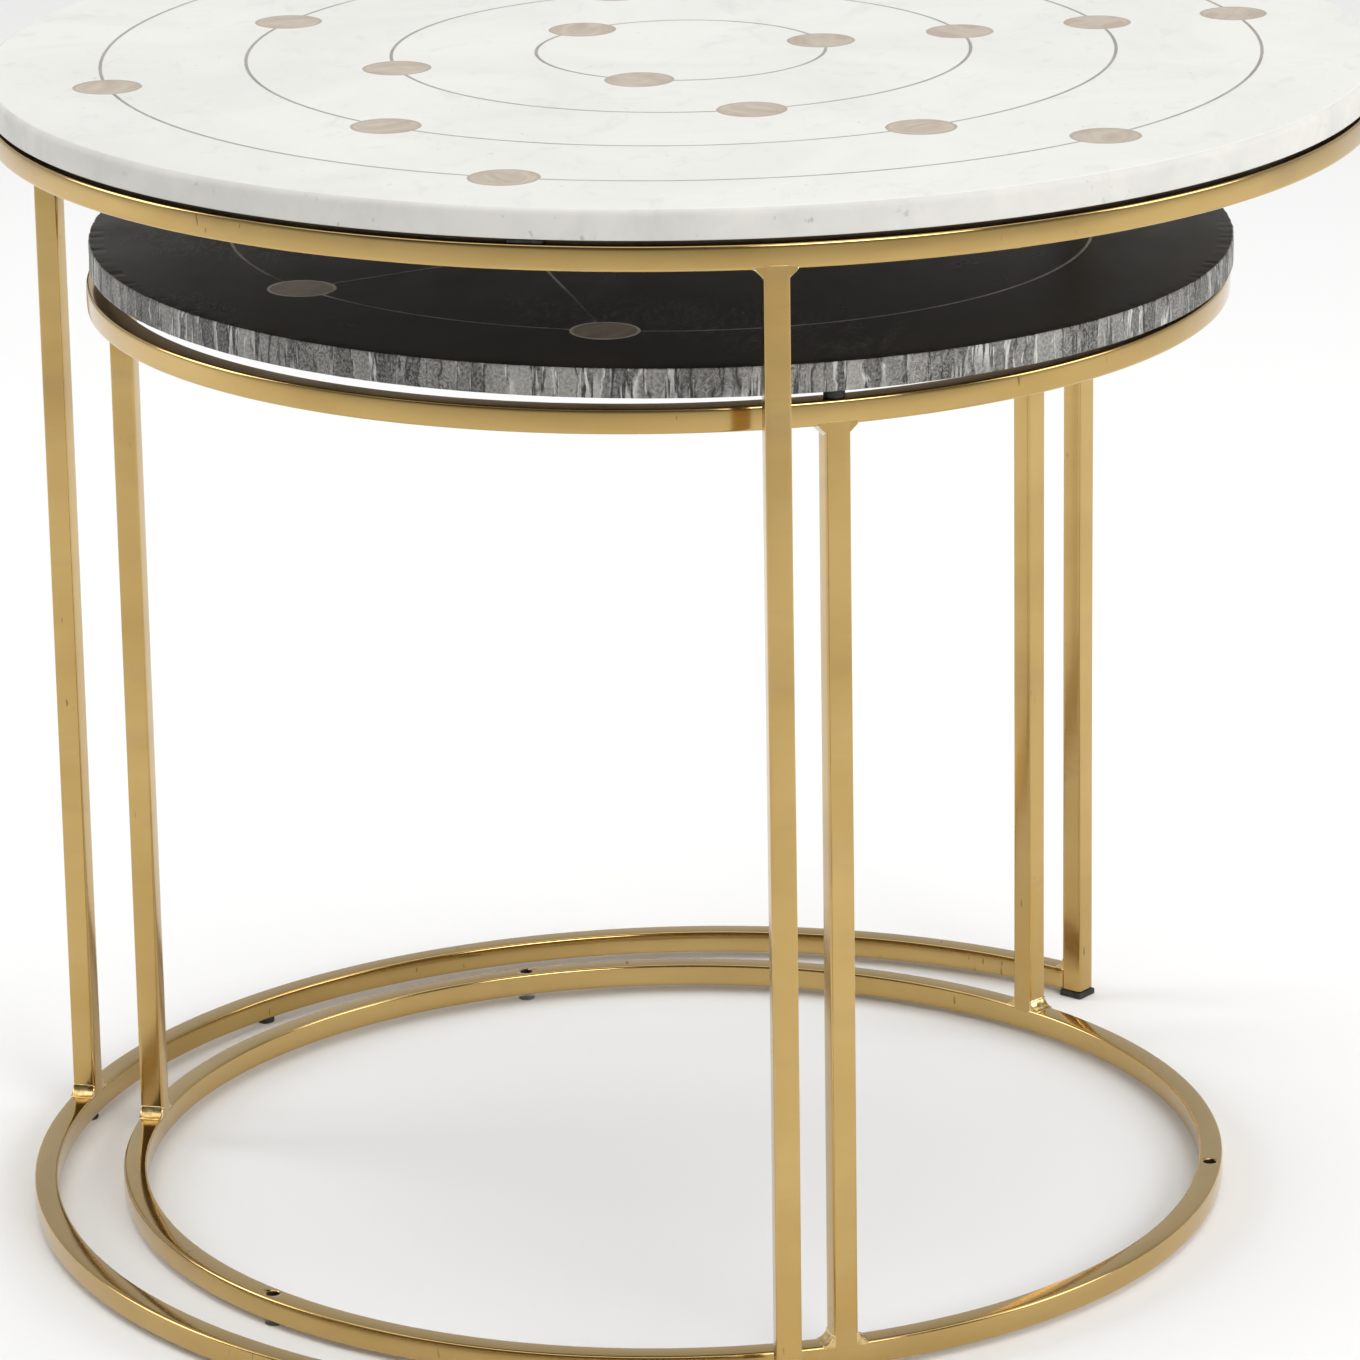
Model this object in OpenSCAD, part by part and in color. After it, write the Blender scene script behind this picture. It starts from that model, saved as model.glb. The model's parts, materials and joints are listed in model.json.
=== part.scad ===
// Pair of round nesting tables: a low table with a black marble top stands inside
// a taller one with a white marble top. Both frames are square bar, welded.
// The origin is on the floor at the tall table's axis, and the low table slides out towards -Y.

/* [Tall table] */
// Outside diameter of the tall frame's rings
tall_d = 610; // [600:1:640]
// Height of the tall frame, floor to the upper face of its top ring
tall_frame_h = 513; // [500:1:560]
// Directions of the tall frame's back, left and right legs, in degrees
tall_leg_turns = [90, 203, 337]; // [0:1:360]

/* [Low table] */
// Outside diameter of the low frame's rings
low_d = 506; // [480:1:510]
// Height of the low frame, floor to the upper face of its top ring
low_frame_h = 431.5; // [400:0.5:440]
// Directions of the low frame's back, left and right legs, in degrees
low_leg_turns = [94.5, 213, 331.5]; // [0:0.5:360]
// How far behind the tall table's axis the low table is stored
low_setback = 12; // [4:1:20]

/* [Bar] */
// Width and height of the square bar
bar = 11; // [10:0.5:12]
// Leg length of the weld fillets in the corners
weld = 4; // [2:0.5:5]

/* [Marble] */
// Thickness of both slabs
slab_t = 12.7; // [11:0.1:20]
// Rounding of the white slab's upper edge
slab_round = 3; // [1:0.5:4]
// How far the loose black slab lies off its frame's axis, towards the front
low_slab_shift = 1.5; // [0:0.5:3]

/* [Inlay] */
// Step from one inlaid ring to the next, as a radius
ring_step = 63.5; // [58:0.5:66]
// Width of an inlaid line
line_w = 1.5; // [1:0.1:2.5]
// Depth of the inlay in the marble
inlay_depth = 2; // [1.5:0.5:4]
// Diameter of an inlaid disc
disc_d = 30; // [20:1:32]
// Direction in which one disc of every white ring lines up
disc_line_turn = 299.5; // [290:0.5:310]

/* [Pads and feet] */
// Thickness of the pads under the white slab
tall_pad_t = 2; // [1.5:0.5:5]
// Thickness of the pads under the black slab
low_pad_t = 4; // [2:0.5:8]
// Height of every foot under the frames
foot_h = 3; // [2:0.5:5]

/* [Hidden] */
$fn = 96;

tall_r = tall_d / 2;
low_r = low_d / 2;
base_top = foot_h + bar;
white_z = tall_frame_h + tall_pad_t;
black_z = low_frame_h + low_pad_t;
// Cutters run past the faces that they cut by this much
past = 1;

// Ring k of the white top carries k + 2 discs, and ring 4 is the outermost
white_rings = 4;
function white_turn(k, i) = disc_line_turn + i * 360 / (k + 2);

// The black top has an outer and an inner ring, each with discs, and lines between them
black_outer_r = 3 * ring_step;
black_inner_r = 1.2 * ring_step;
black_outer_turns = [142.5, 189, 322.5, 9];
black_inner_turns = [147.5, 327.5];
// Each line joins an outer disc to an inner disc, by their places in the two lists
black_line_ends = [[0, 0], [1, 0], [2, 1], [3, 1]];

// Pads of the white slab lie on the top ring, and those of the black slab over the legs
tall_pad_turns = [4, 94, 184, 274];
tall_pad_size = [8, 15];
low_pad_d = 9;

// The open-ended base arc stands on two round feet, and its end legs on square pads
arc_foot_turns = [61, 90];
arc_foot_d = 8.5;
leg_pad_w = 12.5;

// Glides sit about midway between the low frame's legs, with stems pressed up into drilled holes
glide_turns = [33, 151, 278];
glide_d = 8;
glide_hole_d = 6;
glide_stem_h = 5;

brass = [0.72, 0.56, 0.29];
inlay_brass = [0.79, 0.71, 0.62];
white_marble = [0.93, 0.93, 0.9];
black_marble = [0.16, 0.15, 0.14];
black_rubber = [0.08, 0.08, 0.08];
clear_nylon = [0.85, 0.85, 0.82];

function on_circle(r, turn) = [r * cos(turn), r * sin(turn)];

// Places its children on the low table's axis
module at_low() {
    translate([0, low_setback, 0]) children();
}

// Places its children on the black slab's own axis
module at_black_slab() {
    translate([0, low_setback - low_slab_shift, 0]) children();
}

// A square-section ring with its lower face at z
module bar_ring(r, z, w = bar, h = bar) {
    translate([0, 0, z])
        difference() {
            cylinder(r = r, h = h);
            translate([0, 0, -past]) cylinder(r = r - w, h = h + 2 * past);
        }
}

// An upright bar whose outer face is flush with a ring of radius r
module leg(r, turn, z0, z1) {
    rotate([0, 0, turn])
        translate([r - bar, -bar / 2, z0]) cube([bar, bar, z1 - z0]);
}

// Fillet weld in the corner beside a leg: side is 1 or -1, and up is 1 above a bar or -1 below
module fillet_weld(r, turn, z, side, up) {
    inset = 0.3;
    rotate([0, 0, turn])
        translate([r - bar + inset, side * bar / 2, z])
            mirror([0, side < 0 ? 1 : 0, 0])
                mirror([0, 0, up < 0 ? 1 : 0])
                    difference() {
                        cube([bar - 2 * inset, weld, weld]);
                        translate([-past, weld, weld])
                            rotate([0, 90, 0]) cylinder(r = weld, h = bar + 2 * past);
                    }
}

// Discs set flush in a marble face at height z; every inlay stands over it when it serves as a cutter
module discs(places, z, over = 0) {
    for (p = places)
        translate([p[0], p[1], z - inlay_depth]) cylinder(d = disc_d, h = inlay_depth + over);
}

// A line let into a marble face at height z, between two disc centres, with both ends cut short
module inlaid_line(a, b, z, short = 0, over = 0) {
    run = b - a;
    translate([a[0], a[1], z - inlay_depth])
        rotate([0, 0, atan2(run[1], run[0])])
            translate([short, -line_w / 2, 0])
                cube([norm(run) - 2 * short, line_w, inlay_depth + over]);
}

module inlaid_ring(r, z, over = 0) {
    bar_ring(r + line_w / 2, z - inlay_depth, line_w, inlay_depth + over);
}

// A slab with its lower face at z and its upper edge rounded by edge_r
module slab(r, z, edge_r) {
    translate([0, 0, z])
        rotate_extrude() {
            square([r - edge_r, slab_t]);
            square([r, slab_t - edge_r]);
            translate([r - edge_r, slab_t - edge_r]) intersection() {
                circle(r = edge_r);
                square(edge_r);
            }
        }
}

function white_places(k) = [for (i = [0 : k + 1]) on_circle(k * ring_step, white_turn(k, i))];
white_top = white_z + slab_t;
black_top = black_z + slab_t;
black_outer_places = [for (t = black_outer_turns) on_circle(black_outer_r, t)];
black_inner_places = [for (t = black_inner_turns) on_circle(black_inner_r, t)];

module white_marble_top() {
    color(white_marble)
        difference() {
            slab(tall_r, white_z, slab_round);
            for (k = [1 : white_rings]) {
                inlaid_ring(k * ring_step, white_top, past);
                discs(white_places(k), white_top, past);
            }
        }
}

// The arcs of ring k, which stop at its discs
module white_inlay_ring(k) {
    color(inlay_brass)
        difference() {
            inlaid_ring(k * ring_step, white_top);
            discs(white_places(k), white_top, past);
        }
}

module white_inlay_discs(k) {
    color(inlay_brass) discs(white_places(k), white_top);
}

module tall_top_ring() {
    color(brass) bar_ring(tall_r, tall_frame_h - bar);
}

module tall_back_leg() {
    color(brass) leg(tall_r, tall_leg_turns[0], base_top, tall_frame_h - bar);
}

module tall_left_leg() {
    color(brass) leg(tall_r, tall_leg_turns[1], foot_h, tall_frame_h - bar);
}

module tall_right_leg() {
    color(brass) leg(tall_r, tall_leg_turns[2], foot_h, tall_frame_h - bar);
}

// The base ring is open at the front, between the left and right legs, for the low table
module tall_base_arc() {
    far = 2 * tall_r;
    left = tall_leg_turns[1];
    right = tall_leg_turns[2];
    color(brass)
        difference() {
            bar_ring(tall_r, foot_h);
            translate([0, 0, foot_h - past])
                linear_extrude(bar + 2 * past)
                    polygon([[0, 0], on_circle(far, left), on_circle(far, (left + right) / 2),
                             on_circle(far, right)]);
            for (turn = [left, right])
                rotate([0, 0, turn])
                    translate([tall_r - bar - past, -bar / 2, foot_h - past])
                        cube([bar + 2 * past, bar, bar + 2 * past]);
        }
}

module tall_welds() {
    color(brass) {
        for (turn = tall_leg_turns, side = [-1, 1])
            fillet_weld(tall_r, turn, tall_frame_h - bar, side, -1);
        for (side = [-1, 1])
            fillet_weld(tall_r, tall_leg_turns[0], base_top, side, 1);
        fillet_weld(tall_r, tall_leg_turns[1], base_top, -1, 1);
        fillet_weld(tall_r, tall_leg_turns[2], base_top, 1, 1);
    }
}

module tall_slab_pads() {
    color(black_rubber)
        for (turn = tall_pad_turns)
            rotate([0, 0, turn])
                translate([tall_r - bar / 2 - tall_pad_size[0] / 2, -tall_pad_size[1] / 2, tall_frame_h])
                    cube([tall_pad_size[0], tall_pad_size[1], tall_pad_t]);
}

module tall_leg_pads() {
    color(black_rubber)
        for (turn = [tall_leg_turns[1], tall_leg_turns[2]])
            rotate([0, 0, turn])
                translate([tall_r - bar / 2 - leg_pad_w / 2, -leg_pad_w / 2, 0])
                    cube([leg_pad_w, leg_pad_w, foot_h]);
}

module tall_arc_feet() {
    color(black_rubber)
        for (turn = arc_foot_turns)
            rotate([0, 0, turn])
                translate([tall_r - bar / 2, 0, 0]) cylinder(d = arc_foot_d, h = foot_h);
}

module black_marble_top() {
    color(black_marble)
        at_black_slab()
            difference() {
                slab(low_r, black_z, 1);
                inlaid_ring(black_outer_r, black_top, past);
                inlaid_ring(black_inner_r, black_top, past);
                discs(black_outer_places, black_top, past);
                discs(black_inner_places, black_top, past);
                for (ends = black_line_ends)
                    inlaid_line(black_outer_places[ends[0]], black_inner_places[ends[1]],
                                black_top, disc_d / 4, past);
            }
}

module black_inlay_outer_ring() {
    color(inlay_brass)
        at_black_slab()
            difference() {
                inlaid_ring(black_outer_r, black_top);
                discs(black_outer_places, black_top, past);
            }
}

module black_inlay_inner_ring() {
    color(inlay_brass)
        at_black_slab()
            difference() {
                inlaid_ring(black_inner_r, black_top);
                discs(black_inner_places, black_top, past);
            }
}

module black_inlay_lines() {
    color(inlay_brass)
        at_black_slab()
            for (ends = black_line_ends)
                inlaid_line(black_outer_places[ends[0]], black_inner_places[ends[1]],
                            black_top, disc_d / 2);
}

module black_inlay_discs() {
    color(inlay_brass)
        at_black_slab() {
            discs(black_outer_places, black_top);
            discs(black_inner_places, black_top);
        }
}

module low_top_ring() {
    color(brass) at_low() bar_ring(low_r, low_frame_h - bar);
}

module low_leg(i) {
    color(brass) at_low() leg(low_r, low_leg_turns[i], base_top, low_frame_h - bar);
}

module low_base_ring() {
    color(brass)
        at_low()
            difference() {
                bar_ring(low_r, foot_h);
                for (turn = glide_turns)
                    rotate([0, 0, turn])
                        translate([low_r - bar / 2, 0, foot_h - past])
                            cylinder(d = glide_hole_d, h = bar + 2 * past);
            }
}

module low_welds() {
    color(brass)
        at_low()
            for (turn = low_leg_turns, side = [-1, 1]) {
                fillet_weld(low_r, turn, low_frame_h - bar, side, -1);
                fillet_weld(low_r, turn, base_top, side, 1);
            }
}

module low_slab_pads() {
    color(black_rubber)
        at_low()
            for (turn = low_leg_turns)
                rotate([0, 0, turn])
                    translate([low_r - bar / 2, 0, low_frame_h]) cylinder(d = low_pad_d, h = low_pad_t);
}

module low_glides() {
    color(clear_nylon)
        at_low()
            for (turn = glide_turns)
                rotate([0, 0, turn])
                    translate([low_r - bar / 2, 0, 0]) {
                        cylinder(d = glide_d, h = foot_h);
                        cylinder(d = glide_hole_d, h = foot_h + glide_stem_h);
                    }
}

white_marble_top();
white_inlay_ring(1);  // white_inlay_ring_1
white_inlay_ring(2);  // white_inlay_ring_2
white_inlay_ring(3);  // white_inlay_ring_3
white_inlay_ring(4);  // white_inlay_ring_4
white_inlay_discs(1);  // white_inlay_discs_1
white_inlay_discs(2);  // white_inlay_discs_2
white_inlay_discs(3);  // white_inlay_discs_3
white_inlay_discs(4);  // white_inlay_discs_4
tall_top_ring();
tall_back_leg();
tall_left_leg();
tall_right_leg();
tall_base_arc();
tall_welds();
tall_slab_pads();
tall_leg_pads();
tall_arc_feet();
black_marble_top();
black_inlay_outer_ring();
black_inlay_inner_ring();
black_inlay_lines();
black_inlay_discs();
low_top_ring();
low_leg(0);  // low_back_leg
low_leg(1);  // low_left_leg
low_leg(2);  // low_right_leg
low_base_ring();
low_welds();
low_slab_pads();
low_glides();
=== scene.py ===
import json
import math

import bmesh
import bpy
from mathutils import Matrix, Vector
from mathutils import noise as perlin


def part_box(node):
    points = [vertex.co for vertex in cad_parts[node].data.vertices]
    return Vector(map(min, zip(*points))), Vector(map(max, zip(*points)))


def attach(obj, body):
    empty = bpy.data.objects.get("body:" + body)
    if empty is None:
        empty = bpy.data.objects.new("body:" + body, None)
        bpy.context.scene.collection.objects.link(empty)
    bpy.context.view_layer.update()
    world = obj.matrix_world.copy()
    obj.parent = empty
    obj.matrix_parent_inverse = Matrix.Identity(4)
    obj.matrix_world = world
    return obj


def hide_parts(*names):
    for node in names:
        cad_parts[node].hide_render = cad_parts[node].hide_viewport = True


# Round nesting tables: brass bar frames, white and black marble tops with inlaid metal.
# Lengths are metres, in the frame's coordinates.

MM = 0.001
TAU = 2 * math.pi
# Vertices nearer than this are one vertex
SAME_PLACE = 1e-6

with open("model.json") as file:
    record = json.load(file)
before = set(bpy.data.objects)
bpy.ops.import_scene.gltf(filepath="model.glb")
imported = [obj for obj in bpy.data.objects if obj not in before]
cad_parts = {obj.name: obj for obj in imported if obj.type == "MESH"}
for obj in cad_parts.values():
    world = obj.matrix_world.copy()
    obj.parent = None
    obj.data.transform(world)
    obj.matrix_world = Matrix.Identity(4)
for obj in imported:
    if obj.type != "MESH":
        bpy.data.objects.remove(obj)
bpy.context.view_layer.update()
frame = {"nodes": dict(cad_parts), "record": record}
nodes = frame["nodes"]

# ---------------------------------------------------------------- places read from the frame


def centre(node):
    """The middle of a node's box."""
    low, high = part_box(node)
    return (low + high) / 2


def solid_boxes(node):
    """The lowest and highest corners of each separate solid of a node."""
    work = bmesh.new()
    work.from_mesh(nodes[node].data)
    work.transform(nodes[node].matrix_world)
    bmesh.ops.remove_doubles(work, verts=work.verts, dist=SAME_PLACE)
    seen = set()
    boxes = []
    for start in work.verts:
        if start in seen:
            continue
        seen.add(start)
        queue, points = [start], []
        while queue:
            vert = queue.pop()
            points.append(vert.co.copy())
            for edge in vert.link_edges:
                other = edge.other_vert(vert)
                if other not in seen:
                    seen.add(other)
                    queue.append(other)
        low = Vector(min(p[i] for p in points) for i in range(3))
        high = Vector(max(p[i] for p in points) for i in range(3))
        boxes.append((low, high))
    work.free()
    return boxes


def height_of(node):
    """The height of a node's box."""
    low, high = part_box(node)
    return high.z - low.z


def direction(turn):
    """The level direction at an angle."""
    return Vector((math.cos(turn), math.sin(turn), 0))


def turn_of(point, axis):
    """The angle that a point lies at, seen round an axis."""
    return math.atan2(point.y - axis.y, point.x - axis.x)


TALL_AXIS = centre("tall_top_ring")
LOW_AXIS = centre("low_top_ring")
BLACK_AXIS = centre("black_marble_top")
TALL_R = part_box("tall_top_ring")[1].x
LOW_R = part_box("low_top_ring")[1].x
BAR = height_of("tall_top_ring")

# ---------------------------------------------------------------- node materials


class Graph:
    """A material whose nodes are made by short calls. Constants go straight on the shader."""

    def __init__(self, name, **constants):
        self.material = bpy.data.materials.new(name)
        self.material.use_nodes = True
        self.tree = self.material.node_tree
        self.shader = next(n for n in self.tree.nodes if n.type == "BSDF_PRINCIPLED")
        for socket, value in constants.items():
            self.shader.inputs[socket.replace("_", " ")].default_value = value

    def node(self, kind, inputs=(), **settings):
        made = self.tree.nodes.new(kind)
        for key, value in settings.items():
            setattr(made, key, value)
        for key, value in dict(inputs).items():
            self.feed(made.inputs[key], value)
        return made

    def feed(self, socket, value):
        if isinstance(value, bpy.types.NodeSocket):
            self.tree.links.new(value, socket)
        elif value is not None:
            socket.default_value = value

    def place(self):
        """The place on the piece."""
        return self.node("ShaderNodeTexCoord").outputs["Object"]

    def attribute(self, name):
        return self.node("ShaderNodeAttribute", attribute_name=name).outputs["Vector"]

    def scaled(self, vector, scale, shift=(0, 0, 0)):
        made = self.node("ShaderNodeMapping", {"Vector": vector, "Scale": scale, "Location": shift})
        return made.outputs["Vector"]

    def noise(self, vector, scale=1.0, detail=3.0, rough=0.5, distort=0.0):
        settings = {"Vector": vector, "Scale": scale, "Detail": detail}
        settings.update({"Roughness": rough, "Distortion": distort})
        return self.node("ShaderNodeTexNoise", settings).outputs["Fac"]

    def cells(self, vector, feature="F1"):
        made = self.node("ShaderNodeTexVoronoi", {"Vector": vector, "Scale": 1.0}, feature=feature)
        return made.outputs

    def vector_math(self, operation, *values):
        made = self.node("ShaderNodeVectorMath", dict(enumerate(values)), operation=operation)
        return made.outputs

    def warped(self, vector, scale, amount):
        """A vector pushed about by noise, by up to about half the amount each way."""
        settings = {"Vector": self.scaled(vector, scale), "Scale": 1.0, "Detail": 3.0}
        push = self.node("ShaderNodeTexNoise", settings).outputs["Color"]
        level = self.vector_math("ADD", push, (-0.5, -0.5, -0.5))[0]
        return self.vector_math("MULTIPLY_ADD", level, (amount, amount, 0.0), vector)[0]

    def along(self, vector, direction):
        """How far a vector reaches in a direction."""
        return self.vector_math("DOT_PRODUCT", vector, direction)["Value"]

    def span(self, value, low, high, out_low=0.0, out_high=1.0):
        """Takes the range from low to high to another range, and holds it at both ends."""
        settings = {"Value": value, "From Min": low, "From Max": high}
        settings.update({"To Min": out_low, "To Max": out_high})
        return self.node("ShaderNodeMapRange", settings).outputs["Result"]

    def math(self, operation, a, b=None):
        made = self.node("ShaderNodeMath", operation=operation)
        self.feed(made.inputs[0], a)
        self.feed(made.inputs[1], b)
        return made.outputs[0]

    def mix(self, fac, a, b):
        made = self.node("ShaderNodeMix", data_type="RGBA")
        self.feed(made.inputs[0], fac)
        self.feed(made.inputs[6], colour(a))
        self.feed(made.inputs[7], colour(b))
        return made.outputs[2]

    def split(self, vector):
        return self.node("ShaderNodeSeparateXYZ", {"Vector": vector}).outputs

    def bump(self, height, distance, strength=1.0, below=None):
        settings = {"Height": height, "Distance": distance, "Strength": strength}
        made = self.node("ShaderNodeBump", settings)
        self.feed(made.inputs["Normal"], below)
        return made.outputs["Normal"]

    def finish(self, base, rough, normal=None):
        self.feed(self.shader.inputs["Base Color"], base)
        self.feed(self.shader.inputs["Roughness"], rough)
        self.feed(self.shader.inputs["Normal"], normal)
        return self.material


def colour(value):
    """A colour for a socket: a link as it is, or three numbers made opaque."""
    if isinstance(value, bpy.types.NodeSocket):
        return value
    return (*value, 1.0)


BRASS = (0.545, 0.375, 0.142)
BRASS_DEEP = (0.425, 0.274, 0.083)
# Ground welds: pale cream, partly bright ground brass and partly painted highlight
GROUND_BRASS_HIGHLIGHT = (0.97, 0.90, 0.74)
GROUND_BRASS_HIGHLIGHT_DEEP = (0.86, 0.72, 0.48)
BRASS_SMOKED = (0.42, 0.29, 0.14)
BRASS_SCRATCHED = (0.16, 0.10, 0.05)
# Brown for heat tint near the welds, and for painted shade at the legs' heads
BRASS_HEAT_AND_SHADE = (0.56, 0.32, 0.08)
# Heat tint on legs: its strength at the foot, then the heights it grows over at the head and its
# strength there. At the head, under the top ring, the tint is heat tint and painted shade.
HEAT_FOOT = (0.015, 0.110)
TALL_HEAT_AND_SHADE = (0.25, 0.455, 0.502, 0.25)
LOW_HEAT_AND_SHADE = (0.50, 0.375, 0.425, 0.20)


def bar_brass(name, shine=0.12, tint=BRASS, deep=BRASS_DEEP, heat_and_shade=None):
    """Satin brass: faint marks along the grain, soft patches, rare scratches and rough spots."""
    g = Graph(name, Metallic=1.0, Coat_Weight=0.20, Coat_Roughness=0.10)
    grain = g.attribute("grain")
    fine = g.noise(g.scaled(grain, (60, 1500, 1)), detail=2.0, rough=0.5)
    coarse = g.noise(g.scaled(grain, (18, 420, 1), (3, 7, 0)), detail=3.0, rough=0.6)
    patch = g.noise(g.scaled(grain, (7, 13, 1), (1, 5, 0)), detail=4.0, rough=0.55, distort=0.4)
    base = g.mix(g.span(patch, 0.38, 0.72, 0.0, 0.75), tint, deep)
    base = g.mix(g.span(coarse, 0.52, 0.80, 0.0, 0.16), base, deep)
    smoke = g.noise(g.scaled(grain, (16, 40, 1), (7, 2, 0)), detail=3.0, rough=0.6, distort=0.6)
    base = g.mix(g.span(smoke, 0.56, 0.74, 0.0, 0.45), base, BRASS_SMOKED)
    nick = g.noise(g.scaled(grain, (380, 95, 1), (11, 2, 0)), detail=1.0)
    rare = g.noise(g.scaled(grain, (11, 11, 1), (5, 9, 0)), detail=0.0)
    scratch = g.math("MULTIPLY", g.span(nick, 0.72, 0.76), g.span(rare, 0.55, 0.60))
    base = g.mix(g.math("MULTIPLY", scratch, 0.70), base, BRASS_SCRATCHED)
    if heat_and_shade:
        high = g.split(g.place())[2]
        foot_strength, head_start, head_end, head_strength = heat_and_shade
        foot = g.span(high, *HEAT_FOOT, foot_strength, 0.0)
        # At the head, under the top ring, the tint is heat tint and painted shade
        head = g.span(high, head_start, head_end, 0.0, head_strength)
        blotch = g.noise(g.scaled(grain, (60, 34, 1), (8, 3, 0)), 1.0, 3.0, 0.55, 0.8)
        heat_and_shade_tint = g.math("MULTIPLY", g.math("ADD", foot, head), g.span(blotch, 0.36, 0.60))
        base = g.mix(heat_and_shade_tint, base, BRASS_HEAT_AND_SHADE)
    dull = g.span(patch, 0.3, 0.7, shine - 0.03, shine + 0.05)
    rough = g.math("ADD", g.span(fine, 0.3, 0.7, -0.02, 0.02), dull)
    cast = g.noise(g.scaled(grain, (900, 900, 1), (4, 4, 0)), detail=2.0)
    spot = g.noise(g.scaled(grain, (13, 45, 1), (9, 6, 0)), detail=1.0)
    cast = g.math("MULTIPLY", cast, g.span(spot, 0.70, 0.76, 0.0, 9.0))
    height = g.math("ADD", g.math("MULTIPLY", fine, 0.4), coarse)
    height = g.math("ADD", g.math("SUBTRACT", height, g.math("MULTIPLY", scratch, 3.0)), cast)
    wave = g.noise(g.scaled(grain, (14, 60, 1), (2, 8, 0)), detail=1.0)
    below = g.bump(wave, 0.4 * MM, 0.4)
    return g.finish(base, rough, g.bump(height, 0.02 * MM, 0.22, below))


def weld_brass():
    """Polished, lumpy weld metal, darker in its hollows."""
    g = Graph("brass_weld", Metallic=1.0, Coat_Weight=0.2, Coat_Roughness=0.08)
    place = g.place()
    lump = g.noise(place, 300.0, 2.0, 0.5)
    base = g.mix(g.span(lump, 0.35, 0.65), (0.54, 0.35, 0.12), (0.84, 0.65, 0.32))
    rough = g.span(lump, 0.3, 0.7, 0.13, 0.24)
    return g.finish(base, rough, g.bump(lump, 0.06 * MM, 0.4))


def bore_dark():
    """The unplated wall of a drilled hole: near-black and rough, with blotches."""
    g = Graph("bore_dark", Metallic=0.4)
    blotch = g.noise(g.place(), 700.0, 3.0, 0.6)
    base = g.mix(g.span(blotch, 0.35, 0.65), (0.020, 0.014, 0.009), (0.045, 0.032, 0.020))
    rough = g.span(blotch, 0.3, 0.7, 0.55, 0.75)
    return g.finish(base, rough, g.bump(blotch, 0.05 * MM, 0.5))


def white_marble():
    """Honed off-white marble with faint grey clouds, short smudges and rare dark specks."""
    g = Graph("marble_white", Specular_IOR_Level=0.28, IOR=1.5)
    place = g.place()
    cloud = g.noise(place, 9.0, 5.0, 0.62, 0.8)
    fleck = g.noise(g.scaled(place, (34, 52, 44), (2, 4, 1)), 1.0, 5.0, 0.66, 1.2)
    speck = g.noise(place, 260.0, 2.0, 0.5)
    seldom = g.noise(place, 16.0, 2.0, 0.5)
    base = g.mix(g.span(cloud, 0.36, 0.66), (0.745, 0.743, 0.712), (0.685, 0.685, 0.655))
    base = g.mix(g.span(fleck, 0.56, 0.78, 0.0, 0.36), base, (0.48, 0.48, 0.465))
    dots = g.math("MULTIPLY", g.span(speck, 0.70, 0.78), g.span(seldom, 0.50, 0.62))
    base = g.mix(g.math("MULTIPLY", dots, 0.55), base, (0.33, 0.33, 0.31))
    rough = g.span(cloud, 0.3, 0.7, 0.46, 0.58)
    return g.finish(base, rough, g.bump(fleck, 0.05 * MM, 0.4))


def white_marble_rim():
    """The slab's ground edge: matter and a little greyer, with small pits."""
    g = Graph("marble_white_rim", Specular_IOR_Level=0.28, IOR=1.5)
    place = g.place()
    cloud = g.noise(place, 22.0, 5.0, 0.62, 0.6)
    pit = g.noise(g.scaled(place, (260, 260, 200)), 1.0, 3.0, 0.6)
    seldom = g.noise(place, 30.0, 2.0, 0.5)
    base = g.mix(g.span(cloud, 0.36, 0.66), (0.665, 0.65, 0.61), (0.58, 0.57, 0.54))
    pits = g.math("MULTIPLY", g.span(pit, 0.64, 0.74), g.span(seldom, 0.46, 0.58))
    base = g.mix(g.math("MULTIPLY", pits, 0.7), base, (0.36, 0.35, 0.32))
    rough = g.span(cloud, 0.3, 0.7, 0.48, 0.62)
    height = g.math("SUBTRACT", g.math("MULTIPLY", cloud, 0.5), pits)
    return g.finish(base, rough, g.bump(height, 0.25 * MM, 0.6))


def underside_shade():
    """The slabs' undersides: near-black brown painted shade, with faint blotches and a fine speckle.
    """
    g = Graph("stone_underside_shade", Specular_IOR_Level=0.3)
    place = g.place()
    speckle = g.noise(g.scaled(place, (600, 600, 600)), 1.0, 2.0, 0.5)
    blotch = g.noise(place, 14.0, 3.0, 0.5)
    base = g.mix(g.span(blotch, 0.35, 0.65), (0.095, 0.082, 0.066), (0.060, 0.052, 0.042))
    base = g.mix(g.span(speckle, 0.5, 0.7, 0.0, 0.4), base, (0.14, 0.125, 0.105))
    rough = g.span(blotch, 0.3, 0.7, 0.45, 0.60)
    return g.finish(base, rough, g.bump(speckle, 0.1 * MM, 0.5))


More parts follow.
